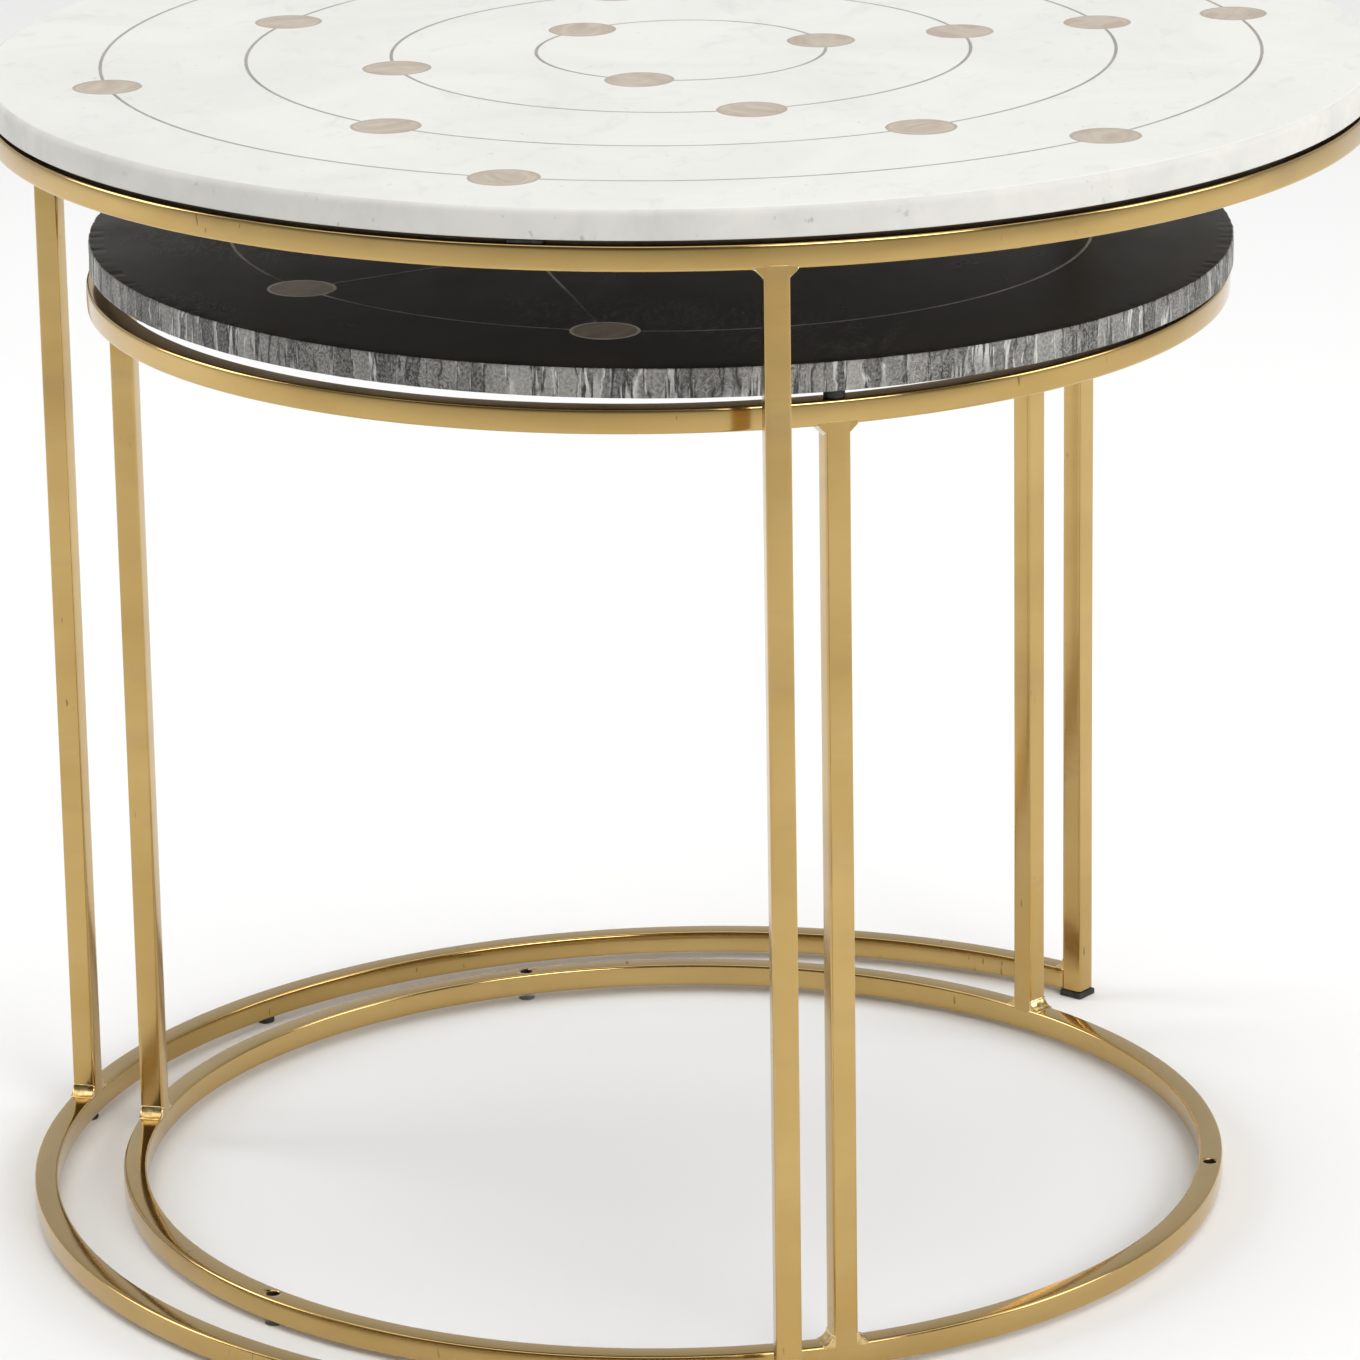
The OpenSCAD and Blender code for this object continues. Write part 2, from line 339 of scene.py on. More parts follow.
def black_marble():
    """Charcoal marble, honed, with clouds and a few hair-thin light veins."""
    g = Graph("marble_black", Specular_IOR_Level=0.10, IOR=1.5, Specular_Tint=(1.0, 0.86, 0.64, 1.0))
    place = g.place()
    cloud = g.noise(g.scaled(place, (7, 13, 7)), 1.0, 6.0, 0.62, 1.4)
    base = g.mix(g.span(cloud, 0.34, 0.70), (0.010, 0.0075, 0.0048), (0.040, 0.033, 0.0235))
    wisp = g.noise(g.scaled(place, (22, 55, 22), (3, 1, 0)), 1.0, 6.0, 0.7, 2.2)
    thin = g.math("ABSOLUTE", g.math("SUBTRACT", wisp, 0.5))
    seldom = g.noise(place, 9.0, 2.0, 0.5)
    vein = g.math("MULTIPLY", g.span(thin, 0.0, 0.012, 1.0, 0.0), g.span(seldom, 0.54, 0.66))
    base = g.mix(g.math("MULTIPLY", vein, 0.60), base, (0.30, 0.27, 0.23))
    fine = g.noise(place, 700.0, 2.0, 0.6)
    base = g.mix(g.span(fine, 0.58, 0.75, 0.0, 0.15), base, (0.050, 0.044, 0.036))
    rough = g.span(cloud, 0.3, 0.7, 0.26, 0.40)
    return g.finish(base, rough, g.bump(wisp, 0.05 * MM, 0.4))


def black_marble_rim():
    """The slab's sawn edge: upright grey bands, agate swirls, pale crackle and dark cracks."""
    g = Graph("marble_black_rim", Specular_IOR_Level=0.35, IOR=1.5)
    rim = g.attribute("grain")
    bent = g.warped(g.warped(rim, (55, 70, 1), 0.010), (420, 300, 1), 0.0022)
    bands = (150, 14, 1)
    band = g.split(g.cells(g.scaled(bent, bands))["Color"])[0]
    edge = g.cells(g.scaled(bent, bands), "DISTANCE_TO_EDGE")["Distance"]
    streak = g.noise(g.scaled(rim, (420, 40, 1)), 1.0, 4.0, 0.65, 0.8)
    smooth = g.noise(g.scaled(rim, (190, 150, 1), (9, 1, 0)), 1.0, 2.0, 0.5, 1.8)
    swirl = g.math("PINGPONG", g.math("MULTIPLY", smooth, 11.0), 1.0)
    where = g.noise(g.scaled(rim, (24, 20, 1), (5, 5, 0)), 1.0, 2.0)
    crumb = g.noise(g.scaled(rim, (900, 700, 1)), 1.0, 3.0, 0.6)
    tone = g.math("ADD", g.math("MULTIPLY", band, 0.62), g.math("MULTIPLY", streak, 0.55))
    tone = g.math("ADD", tone, g.math("MULTIPLY", g.math("SUBTRACT", crumb, 0.5), 1.5))
    patch = g.span(where, 0.46, 0.56, 0.10, 0.50)
    tone = g.node("ShaderNodeMix", {0: patch, 2: tone, 3: swirl}).outputs[0]
    base = g.mix(g.span(tone, 0.15, 0.95), (0.026, 0.025, 0.022), (0.36, 0.352, 0.33))
    common = g.span(where, 0.44, 0.56, 0.9, 0.15)
    crackle = g.math("MULTIPLY", g.span(edge, 0.0, 0.10, 1.0, 0.0), common)
    base = g.mix(g.math("MULTIPLY", crackle, g.span(streak, 0.47, 0.55)), base, (0.66, 0.66, 0.64))
    broken = g.span(streak, 0.44, 0.50, 1.0, 0.0)
    crack = g.math("MULTIPLY", g.span(edge, 0.0, 0.12, 0.95, 0.0), broken)
    base = g.mix(crack, base, (0.020, 0.019, 0.017))
    rough = g.span(streak, 0.3, 0.7, 0.48, 0.64)
    height = g.math("ADD", tone, g.math("MULTIPLY", crack, -0.7))
    return g.finish(base, rough, g.bump(height, 0.4 * MM, 0.7))


def disc_metal(name, light, dark, rim, metallic, shine):
    """An inlaid disc: brushed, with a soft sweep across it and a band of its own colour at the rim.
    """
    g = Graph(name, Coat_Weight=0.1, Coat_Roughness=0.2)
    local = g.attribute("grain")
    fine = g.noise(g.scaled(local, (70, 2400, 1)), 1.0, 3.0, 0.6)
    sweep = g.noise(g.scaled(local, (45, 110, 1)), 1.0, 3.0, 0.5, 0.5)
    base = g.mix(g.span(sweep, 0.36, 0.66), light, dark)
    base = g.mix(g.span(fine, 0.55, 0.8, 0.0, 0.08), base, dark)
    # The rim band, with little metal: on the black slab's discs a pale cream painted highlight, on
    # the white slab's a darker ring
    turned = g.span(g.split(local)[2], 0.88, 0.93)
    base = g.mix(g.math("MULTIPLY", turned, 0.85), base, rim)
    g.feed(g.shader.inputs["Metallic"], g.span(turned, 0.0, 1.0, metallic, 0.1))
    rough = g.span(sweep, 0.3, 0.7, shine, shine + 0.06)
    return g.finish(base, rough, g.bump(sweep, 0.02 * MM, 0.15))


def line_metal(name, light, dark):
    """A thin inlaid line, dulled by polishing with the stone."""
    g = Graph(name, Metallic=0.7)
    place = g.place()
    worn = g.noise(place, 45.0, 4.0, 0.6)
    fine = g.noise(place, 900.0, 2.0, 0.5)
    base = g.mix(g.span(worn, 0.35, 0.68), light, dark)
    rough = g.span(fine, 0.3, 0.7, 0.38, 0.52)
    return g.finish(base, rough, g.bump(fine, 0.02 * MM, 0.5))


def rubber():
    """Black rubber with a dusty, slightly uneven face."""
    g = Graph("rubber_black", Specular_IOR_Level=0.35)
    place = g.place()
    dust = g.noise(place, 300.0, 4.0, 0.6)
    base = g.mix(g.span(dust, 0.4, 0.7), (0.014, 0.014, 0.014), (0.045, 0.043, 0.04))
    rough = g.span(dust, 0.3, 0.7, 0.55, 0.75)
    return g.finish(base, rough, g.bump(dust, 0.1 * MM, 0.5))


def nylon():
    """Milky nylon, lightly scuffed."""
    g = Graph("nylon_white", Specular_IOR_Level=0.1, Transmission_Weight=0.9, IOR=1.1)
    place = g.place()
    scuff = g.noise(g.scaled(place, (500, 500, 120)), 1.0, 3.0, 0.6)
    base = g.mix(g.span(scuff, 0.4, 0.75), (0.97, 0.97, 0.95), (0.92, 0.92, 0.90))
    rough = g.span(scuff, 0.3, 0.7, 0.25, 0.40)
    return g.finish(base, rough, g.bump(scuff, 0.05 * MM, 0.5))


# ---------------------------------------------------------------- making pieces


def slot_of(node):
    """The material slot that the record gives a node."""
    rows = frame["record"]["subparts"]
    return next(row["material_slot"] for row in rows if row["node"] == node)


def object_from(work, name):
    """Turns a bmesh into an object in the scene."""
    mesh = bpy.data.meshes.new(name)
    work.to_mesh(mesh)
    work.free()
    obj = bpy.data.objects.new(name, mesh)
    bpy.context.scene.collection.objects.link(obj)
    return obj


def piece_from(work, name, body, materials):
    """Turns a bmesh into a smooth-shaded object that rides on a body."""
    work.normal_update()
    obj = object_from(work, name)
    for material in materials:
        obj.data.materials.append(material)
    for face in obj.data.polygons:
        face.use_smooth = True
    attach(obj, body)
    return obj


def stand_for(node):
    """Hides a node so that a piece can take its place, and looks up the node's slot without using
    it.
    """
    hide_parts(node)
    slot_of(node)


def flat_ends(obj):
    """Shades the faces with many corners flat, so that they don't bend the shading round them."""
    for face in obj.data.polygons:
        face.use_smooth = len(face.vertices) <= 4


def cut_away(obj, tool, name, crossing):
    """Cuts the tool out of an object, then removes the tool. crossing: its parts may overlap."""
    modifier = obj.modifiers.new(name, "BOOLEAN")
    modifier.operation = "DIFFERENCE"
    modifier.solver = "EXACT"
    modifier.use_self = crossing
    modifier.object = tool
    settle(obj)
    bpy.data.objects.remove(tool)


def settle(obj):
    """Applies an object's modifiers."""
    graph = bpy.context.evaluated_depsgraph_get()
    mesh = bpy.data.meshes.new_from_object(obj.evaluated_get(graph), depsgraph=graph)
    old = obj.data
    obj.modifiers.clear()
    obj.data = mesh
    bpy.data.meshes.remove(old)


# ---------------------------------------------------------------- brass bars

CORNER = 1.2 * MM
CROWN = 0.16 * MM
CORNER_STEPS = 4
FACE_STEPS = 8
# A leg's faces lie this far inside the faces of the rings that it is welded to
SHY = 0.04 * MM
RING_STEPS = 400
# The most that hand bending moves a ring in or out, and the most it leans its faces
RING_TREMOR = 0.05 * MM
RING_LEAN = 0.008


def bar_section(size, corner, crown):
    """A square with round corners and slightly crowned faces: (x, y, distance round it)."""
    half = size / 2
    flat = half - corner
    points = []
    for side in range(4):
        c, s = round(math.cos(side * math.pi / 2)), round(math.sin(side * math.pi / 2))
        local = []
        for i in range(FACE_STEPS + 1):
            t = -1 + 2 * i / FACE_STEPS
            local.append((half - crown * t * t, flat * t))
        for i in range(1, CORNER_STEPS):
            a = math.pi / 2 * i / CORNER_STEPS
            x = flat + (corner - crown) * math.cos(a)
            y = flat + (corner - crown) * math.sin(a)
            local.append((x, y))
        points += [(c * x - s * y, s * x + c * y) for x, y in local]
    rounds, total = [], 0.0
    for i, p in enumerate(points):
        if i:
            total += math.dist(p, points[i - 1])
        rounds.append(total)
    total += math.dist(points[-1], points[0])
    return [(x, y, d) for (x, y), d in zip(points, rounds)], total


def sweep(rows, closed, grains, name, body, materials):
    """Skins rows of points into a bar. grains gives each row's and point's grain coordinates."""
    work = bmesh.new()
    layer = work.loops.layers.float_vector.new("grain")
    count = len(rows[0])
    verts = [[work.verts.new(p) for p in row] for row in rows]
    last = len(rows) if closed else len(rows) - 1
    for i in range(last):
        low, high = verts[i], verts[(i + 1) % len(rows)]
        for j in range(count):
            k = (j + 1) % count
            face = work.faces.new((low[j], low[k], high[k], high[j]))
            marks = (grains(i, j), grains(i, j + 1), grains(i + 1, j + 1), grains(i + 1, j))
            for loop, mark in zip(face.loops, marks):
                loop[layer] = mark
    if not closed:
        for row, end in ((0, verts[0]), (len(rows) - 1, verts[-1])):
            order = end[::-1] if row == 0 else end
            face = work.faces.new(order)
            for loop in face.loops:
                loop[layer] = (loop.vert.co.x, loop.vert.co.z, loop.vert.co.y)
    bmesh.ops.recalc_face_normals(work, faces=work.faces)
    obj = piece_from(work, name, body, materials)
    flat_ends(obj)
    return obj


def ring_piece(node, axis, body, material, start, stop, seed):
    """A bent square bar, a whole ring or an arc, with the slight waver of hand bending."""
    low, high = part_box(node)
    radius = high.x - axis.x
    middle = (low.z + high.z) / 2
    section, perimeter = bar_section(BAR, CORNER, CROWN)
    closed = stop - start > TAU - 1e-6
    steps = max(8, round(RING_STEPS * (stop - start) / TAU))
    rows = []
    for i in range(steps + (0 if closed else 1)):
        a = start + (stop - start) * i / steps
        out = direction(a)
        tremor = perlin.noise(Vector((out.x * 4 + seed, out.y * 4, 0.3))) * RING_TREMOR
        lean = perlin.noise(Vector((out.x * 6, out.y * 6 + seed, 4.7))) * RING_LEAN
        row = []
        for x, y, _ in section:
            r = radius - BAR / 2 + x + tremor - lean * y
            row.append(Vector((axis.x, axis.y, middle)) + out * r + Vector((0, 0, y + lean * x)))
        rows.append(row)
    spread = [d for _, _, d in section] + [perimeter]

    def grains(i, j):
        return (radius * (start + (stop - start) * i / steps) + seed, spread[j], 0.0)

    obj = sweep(rows, closed, grains, node + "_brass", body, [material])
    stand_for(node)
    return obj


LEG_ROWS = 40
# How far a leg's end runs into a ring, and how its tip then narrows on each side
LIP = 2.0 * MM
TIP_HEIGHT = 0.3 * MM
TIP_TAPER = 0.50 * MM
# A row just before the tip keeps the shading of the leg's faces flat up to it
TIP_GUARD = 0.4 * MM
# The rounding of a leg's end that stands on a pad: (height over the end, narrowing on each side)
FOOT_ROUND = ((0.0, 0.6 * MM), (0.3 * MM, 0.2 * MM), (0.8 * MM, 0.0))
# The most that a leg bows out of its line
LEG_BOW = 0.3 * MM


def narrowed(by):
    """The scale that takes so much off each side of a bar."""
    return 1 - 2 * by / BAR


def leg_rows(foot, head, foot_reach):
    """The heights of a leg's rows from its foot up, with the scale of its section at each."""
    levels = [(foot + (head - foot) * i / LEG_ROWS, 1.0) for i in range(LEG_ROWS + 1)]
    end = head + LIP
    tip = narrowed(TIP_TAPER)
    levels += [(end - TIP_GUARD, 1.0), (end - TIP_HEIGHT, 1.0), (end, tip)]
    if foot_reach == 0:
        return [(foot + rise, narrowed(by)) for rise, by in FOOT_ROUND] + levels[1:]
    start = foot - foot_reach
    return [(start, tip), (start + TIP_HEIGHT, 1.0), (start + TIP_GUARD, 1.0)] + levels


def leg_piece(node, axis, body, material, foot_reach, seed):
    """An upright square bar, let a little way into the rings above and below it."""
    low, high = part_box(node)
    middle = (low + high) / 2
    out = direction(turn_of(middle, axis))
    along = Vector((-out.y, out.x, 0))
    radius = (Vector((middle.x, middle.y, 0)) - Vector((axis.x, axis.y, 0))).length
    section, perimeter = bar_section(BAR - 2 * SHY, CORNER, CROWN / 2)
    levels = leg_rows(low.z, high.z, foot_reach)
    start = low.z - foot_reach
    length = high.z + LIP - start
    rows = []
    for z, scale in levels:
        loose = math.sin(math.pi * min(1.0, max(0.0, (z - start) / length))) * LEG_BOW
        bow = perlin.noise(Vector((seed, z * 3.1, 1.0))) * loose
        sway = perlin.noise(Vector((z * 3.3, seed, 5.0))) * loose
        row = []
        for x, y, _ in section:
            spot = out * (radius + x * scale + bow) + along * (y * scale + sway)
            row.append(Vector((axis.x, axis.y, z)) + spot)
        rows.append(row)
    spread = [d for _, _, d in section] + [perimeter]

    def grains(i, j):
        return (spread[j] + seed, levels[i][0], 0.0)

    obj = sweep(rows, False, grains, node + "_brass", body, [material])
    stand_for(node)
    return obj


# ---------------------------------------------------------------- welds

# How far a weld reaches along the leg and the ring, and how deep its back lies in them
WELD_REACH = 4.8 * MM
WELD_SINK = 1.2 * MM
# How far a weld's ends stay inside the faces of the rings
WELD_INSET = 0.22 * MM
# The height of the ripples on a bead, and what grinding leaves of them
WELD_LUMP = 0.22 * MM
GROUND_LUMP = 0.2
# The shape across a weld: 1 is a quarter round and 0 is a flat chamfer
BEAD_HOLLOW = 0.85
GROUND_HOLLOW = 0.0
WELD_STEPS = 16
WELD_ARC = 10
BEAD_MATERIAL, GROUND_MATERIAL, END_MATERIAL = 0, 1, 2


def weld_spots(legs, axis, radius, below, above, bare=()):
    """Where a frame's welds are: (radius, turn, z, side, up, axis), but none at the bare feet."""
    spots = []
    for name in legs:
        turn = turn_of(centre(name), axis)
        for side in (-1, 1):
            spots.append((radius, turn, below, side, -1, axis))
            if (name, side) not in bare:
                spots.append((radius, turn, above, side, 1, axis))
    return spots


def fillet_rows(radius, turn, z, side, up, axis, hollow, lump, seed):
    """Rows of points across one weld in the corner between a leg and a ring."""
    out = direction(turn)
    along = Vector((-out.y, out.x, 0)) * side
    rise = Vector((0, 0, up))
    base = Vector((axis.x, axis.y, z))
    rows = []
    for i in range(WELD_STEPS + 1):
        t = i / WELD_STEPS
        r = radius - BAR + WELD_INSET + (BAR - 2 * WELD_INSET) * t
        ends = min(1.0, 7 * t, 7 * (1 - t))
        size = WELD_REACH * (0.94 + 0.06 * ends)
        if up < 0:
            size = WELD_REACH * (0.62 + 0.38 * min(1.0, 3.5 * (1 - t)))
        points = []
        for j in range(WELD_ARC + 1):
            s = j / WELD_ARC
            a = math.pi / 2 * s
            x = hollow * (1 - math.sin(a)) + (1 - hollow) * (1 - s)
            y = hollow * (1 - math.cos(a)) + (1 - hollow) * s
            ripple = perlin.noise(Vector((t * 2.2 + seed, s * 1.6, seed * 1.7)))
            ripple += 0.3 * perlin.noise(Vector((t * 6.0 + seed, s * 2.0, seed * 2.9)))
            swell = lump * ripple * math.sin(math.pi * s) * ends
            points.append((x * size + swell, y * size + swell))
        place = base + out * r + along * (BAR / 2 - SHY)
        back = place - along * WELD_SINK
        row = [back - rise * WELD_SINK, place + along * points[0][0] - rise * WELD_SINK]
        row += [place + along * x + rise * y for x, y in points]
        row.append(back + rise * points[-1][1])
        rows.append(row)
    return rows


def welds_piece(node, body, materials, spots):
    """All the welds of one frame, at its spots.

    The welds on top of the base rings are left as beads; those under the top rings are ground.
    """
    work = bmesh.new()
    layer = work.loops.layers.float_vector.new("grain")
    for number, (radius, turn, z, side, up, axis) in enumerate(spots):
        lump = WELD_LUMP if up > 0 else WELD_LUMP * GROUND_LUMP
        hollow = BEAD_HOLLOW if up > 0 else GROUND_HOLLOW
        rows = fillet_rows(radius, turn, z, side, up, axis, hollow, lump, number * 3.7)
        verts = [[work.verts.new(p) for p in row] for row in rows]
        count = len(rows[0])
        ends = [work.faces.new(verts[0]), work.faces.new(verts[-1][::-1])]
        faces = list(ends)
        for low, high in zip(verts, verts[1:]):
            for j in range(count):
                k = (j + 1) % count
                faces.append(work.faces.new((low[j], low[k], high[k], high[j])))
        for face in faces:
            ground = END_MATERIAL if face in ends else GROUND_MATERIAL
            face.material_index = BEAD_MATERIAL if up > 0 else ground
            for loop in face.loops:
                loop[layer] = (loop.vert.co.x + loop.vert.co.y + number, loop.vert.co.z, 0.0)
    bmesh.ops.recalc_face_normals(work, faces=work.faces)
    obj = piece_from(work, node + "_beads", body, materials)
    flat_ends(obj)
    stand_for(node)
    return obj


# ---------------------------------------------------------------- pads, slabs and discs

# An edge that bends by more than this, in radians, is rounded
SHARP = 0.6
# Coplanar faces are those within this angle, in radians
LEVEL = 0.01


def softened(node, body, material, width, segments=3):
    """A node's own solids with their edges rounded, as a new piece."""
    work = bmesh.new()
    work.from_mesh(nodes[node].data)
    work.transform(nodes[node].matrix_world)
    bmesh.ops.remove_doubles(work, verts=work.verts, dist=SAME_PLACE)
    bmesh.ops.dissolve_limit(work, angle_limit=LEVEL, verts=work.verts, edges=work.edges)
    sharp = [e for e in work.edges if e.is_manifold and e.calc_face_angle() > SHARP]
    bmesh.ops.bevel(work, geom=sharp, offset=width, segments=segments, profile=0.5, affect="EDGES")
    bmesh.ops.recalc_face_normals(work, faces=work.faces)
    obj = piece_from(work, node + "_soft", body, [material])
    stand_for(node)
    return obj


SLAB_STEPS = 900
TOP_MATERIAL, RIM_MATERIAL, UNDER_MATERIAL = 0, 1, 2


def slab_piece(node, body, materials, profile, rim_to, shape, seed, cutters):
    """A turned stone slab. profile lists (inset, height) from the bottom face up to the top face.

    The rim's material reaches in as far as rim_to, and the top's material covers the rest.
    shape(turn, inset, height) gives how far a rim point is chipped inwards and down.
    """
    low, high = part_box(node)
    axis = (low + high) / 2
    radius = (high.x - low.x) / 2
    work = bmesh.new()
    layer = work.loops.layers.float_vector.new("grain")
    verts = []
    for i in range(SLAB_STEPS):
        a = TAU * i / SLAB_STEPS
        column = []
        for inset, height in profile:
            back, drop = shape(a, inset, height)
            r = radius - inset - back
            z = low.z + height - drop
            column.append(work.verts.new((axis.x + r * math.cos(a), axis.y + r * math.sin(a), z)))
        verts.append(column)
    rim_rows = sum(1 for inset, height in profile[1:] if inset < rim_to)
    lengths = [0.0]
    for (x0, y0), (x1, y1) in zip(profile, profile[1:]):
        lengths.append(lengths[-1] + math.dist((x0, y0), (x1, y1)))
    for i in range(SLAB_STEPS):
        left, right = verts[i], verts[(i + 1) % SLAB_STEPS]
        for j in range(len(profile) - 1):
            face = work.faces.new((left[j], right[j], right[j + 1], left[j + 1]))
            face.material_index = RIM_MATERIAL if j < rim_rows else TOP_MATERIAL
            marks = ((i, j), (i + 1, j), (i + 1, j + 1), (i, j + 1))
            for loop, (u, v) in zip(face.loops, marks):
                loop[layer] = (radius * TAU * u / SLAB_STEPS, lengths[v], seed)
    top = work.faces.new([column[-1] for column in verts])
    bottom = work.faces.new([column[0] for column in verts][::-1])
    # The underside takes the dark painted-shade material
    bottom.material_index = UNDER_MATERIAL
    top.material_index = TOP_MATERIAL
    bmesh.ops.recalc_face_normals(work, faces=work.faces)
    obj = piece_from(work, node + "_stone", body, materials)
    flat_ends(obj)
    cut_pockets(obj, cutters, high.z)
    stand_for(node)
    return obj


def cut_pockets(obj, cutters, top):
    """Cuts the pockets that the inlays lie in, open at the slab's top face."""
    work = bmesh.new()
    for node in cutters:
        start = len(work.verts)
        work.from_mesh(nodes[node].data)
        work.verts.ensure_lookup_table()
        for vert in work.verts[start:]:
            vert.co = nodes[node].matrix_world @ vert.co
    bmesh.ops.remove_doubles(work, verts=work.verts, dist=SAME_PLACE)
    for vert in work.verts:
        if vert.co.z > top - 0.5 * MM:
            vert.co.z = top + 1 * MM
    cut_away(obj, object_from(work, "cutter"), "pockets", True)


DISC_RINGS = (0.35, 0.65, 0.85, 0.93, 0.975, 0.993)
DISC_STEPS = 96
# The gap left round a disc in its pocket, and how far its rim is turned down
DISC_GAP = 0.12 * MM
DISC_TURNED = 0.12 * MM


def discs_piece(node, body, material, seed):
    """Inlaid discs with softly turned rims, each with its own grain direction."""
    work = bmesh.new()
    layer = work.loops.layers.float_vector.new("grain")
    for number, (low, high) in enumerate(solid_boxes(node)):
        middle = (low + high) / 2
        radius = (high.x - low.x) / 2 - DISC_GAP
        angle = perlin.noise(Vector((number * 2.3 + seed, 0.5, 0.5))) * 1.2 + seed
        c, s = math.cos(angle), math.sin(angle)
        loops = []
        rows = [(f, high.z) for f in DISC_RINGS] + [(1.0, high.z - DISC_TURNED), (1.0, low.z)]
        for fraction, z in rows:
            row = []
            for i in range(DISC_STEPS):
                a = TAU * i / DISC_STEPS
                x, y = radius * fraction * math.cos(a), radius * fraction * math.sin(a)
                row.append(work.verts.new((middle.x + x, middle.y + y, z)))
            loops.append(row)
        hub = work.verts.new((middle.x, middle.y, high.z))
        inner = zip(loops[0], loops[0][1:] + loops[0][:1])
        faces = [work.faces.new((hub, here, there)) for here, there in inner]
        for upper, lower in zip(loops, loops[1:]):
            for i in range(DISC_STEPS):
                k = (i + 1) % DISC_STEPS
                faces.append(work.faces.new((upper[i], lower[i], lower[k], upper[k])))
        faces.append(work.faces.new(loops[-1][::-1]))
        for face in faces:
            for loop in face.loops:
                x, y = loop.vert.co.x - middle.x, loop.vert.co.y - middle.y
                along, across = c * x + s * y + number, c * y - s * x
                loop[layer] = (along, across, math.hypot(x, y) / radius)
    bmesh.ops.recalc_face_normals(work, faces=work.faces)
    obj = piece_from(work, node + "_metal", body, [material])
    stand_for(node)
    return obj


def dress(node, material):
    """Gives a CAD node that stays its material."""
    obj = nodes[node]
    obj.data.materials.clear()
    obj.data.materials.append(material)


# Only points this near the rim are chipped
CHIPPED = 5 * MM


def rim_noise(a, scale, seed):
    """Noise along the rim of a slab."""
    return perlin.noise(Vector((math.cos(a) * scale + seed, math.sin(a) * scale, seed * 0.7)))


def white_shape(a, inset, height):
    """The white slab's edge: a gentle waver and a few small chips on the upper round."""
    if inset > CHIPPED:
        return 0.0, 0.0
    waver = 0.10 * MM * (1 + rim_noise(a, 9, 2.0)) / 2
    high_up = max(0.0, (height - 8 * MM) / (4.7 * MM))
    chip = max(0.0, rim_noise(a, 60, 5.0) - 0.42) * 2.2 * MM * min(1.0, high_up)
    return waver + chip, chip * 0.5


def black_shape(a, inset, height):
    """The black slab's edge: upright ridges, hollows, and a ragged upper arris."""
    if inset > CHIPPED:
        return 0.0, 0.0
    point = Vector((math.cos(a) * 38, math.sin(a) * 38, height * 60))
    ridge = (perlin.noise(point) + 1) * 0.22 * MM
    small = Vector((math.cos(a) * 130, math.sin(a) * 130, height * 260))
    grit = (perlin.noise(small) + 1) * 0.12 * MM
    edge = max(0.0, (height - 9.5 * MM) / (3.2 * MM))
    chip = max(0.0, rim_noise(a, 90, 3.0) - 0.05) * 0.8 * MM * edge
    chip += max(0.0, rim_noise(a, 30, 8.0) - 0.30) * 1.1 * MM * edge
    return ridge + grit + chip, chip * 0.55


# ---------------------------------------------------------------- the tall table

WHITE_ROUND = 3.0 * MM
WHITE_ROUND_STEPS = 8


def white_profile(thick):
    """The white slab's edge, with a small round below and a wide one above."""
    profile = [(0.6 * MM, 0.0), (0.15 * MM, 0.2 * MM), (0.0, 0.7 * MM)]
    profile += [(0.0, thick * f) for f in (0.2, 0.35, 0.5, 0.62)]
    for i in range(WHITE_ROUND_STEPS + 1):
        a = math.pi / 2 * i / WHITE_ROUND_STEPS
        inset = WHITE_ROUND * (1 - math.cos(a))
        profile.append((inset, thick - WHITE_ROUND + WHITE_ROUND * math.sin(a)))
    profile.append((WHITE_ROUND + 0.8 * MM, thick))
    profile.append((8 * MM, thick))
    return profile


def base_arc_turns():
    """The angles that the tall table's base arc runs between, just inside its front legs."""
    right, left = (turn_of(centre(n), TALL_AXIS) for n in ("tall_right_leg", "tall_left_leg"))
    half = math.asin((BAR / 2 - 0.5 * MM) / (TALL_R - BAR / 2))
    start = right + half
    stop = left - half
    while stop < start:
        stop += TAU
    return start, stop


def build_tall(look):
    """The tall table, with its white top."""
    body = "tall_frame"
    hidden = turn_of(centre("tall_back_leg"), TALL_AXIS)
    start, stop = base_arc_turns()
    ring_piece("tall_top_ring", TALL_AXIS, body, look["ring"], hidden, hidden + TAU, 1.3)
    ring_piece("tall_base_arc", TALL_AXIS, body, look["ring"], start, stop, 6.1)
    legs = ("tall_back_leg", "tall_left_leg", "tall_right_leg")
    for k, (name, foot_reach) in enumerate(zip(legs, (LIP, 0, 0))):
        leg_piece(name, TALL_AXIS, body, look["leg"], foot_reach, 2.0 + k)
    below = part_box("tall_top_ring")[0].z
    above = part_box("tall_base_arc")[1].z
    bare = (("tall_left_leg", 1), ("tall_right_leg", -1))
    spots = weld_spots(legs, TALL_AXIS, TALL_R, below, above, bare)
    welds_piece("tall_welds", body, look["welds"], spots)
    rings = ["white_inlay_ring_%d" % k for k in (1, 2, 3, 4)]
    discs = ["white_inlay_discs_%d" % k for k in (1, 2, 3, 4)]
    profile = white_profile(height_of("white_marble_top"))
    cutters = rings + discs
    stone = look["stone"]
    slab_piece("white_marble_top", "white_top", stone, profile, 2.3 * MM, white_shape, 0.0, cutters)
    for k, name in enumerate(discs):
        discs_piece(name, "white_top", look["disc"], 0.4 + k)
    for name in rings:
        dress(name, look["line"])
    softened("tall_slab_pads", body, look["pad"], 0.4 * MM)
    softened("tall_leg_pads", body, look["pad"], 0.7 * MM)
    softened("tall_arc_feet", body, look["pad"], 0.6 * MM)


# ---------------------------------------------------------------- the low table

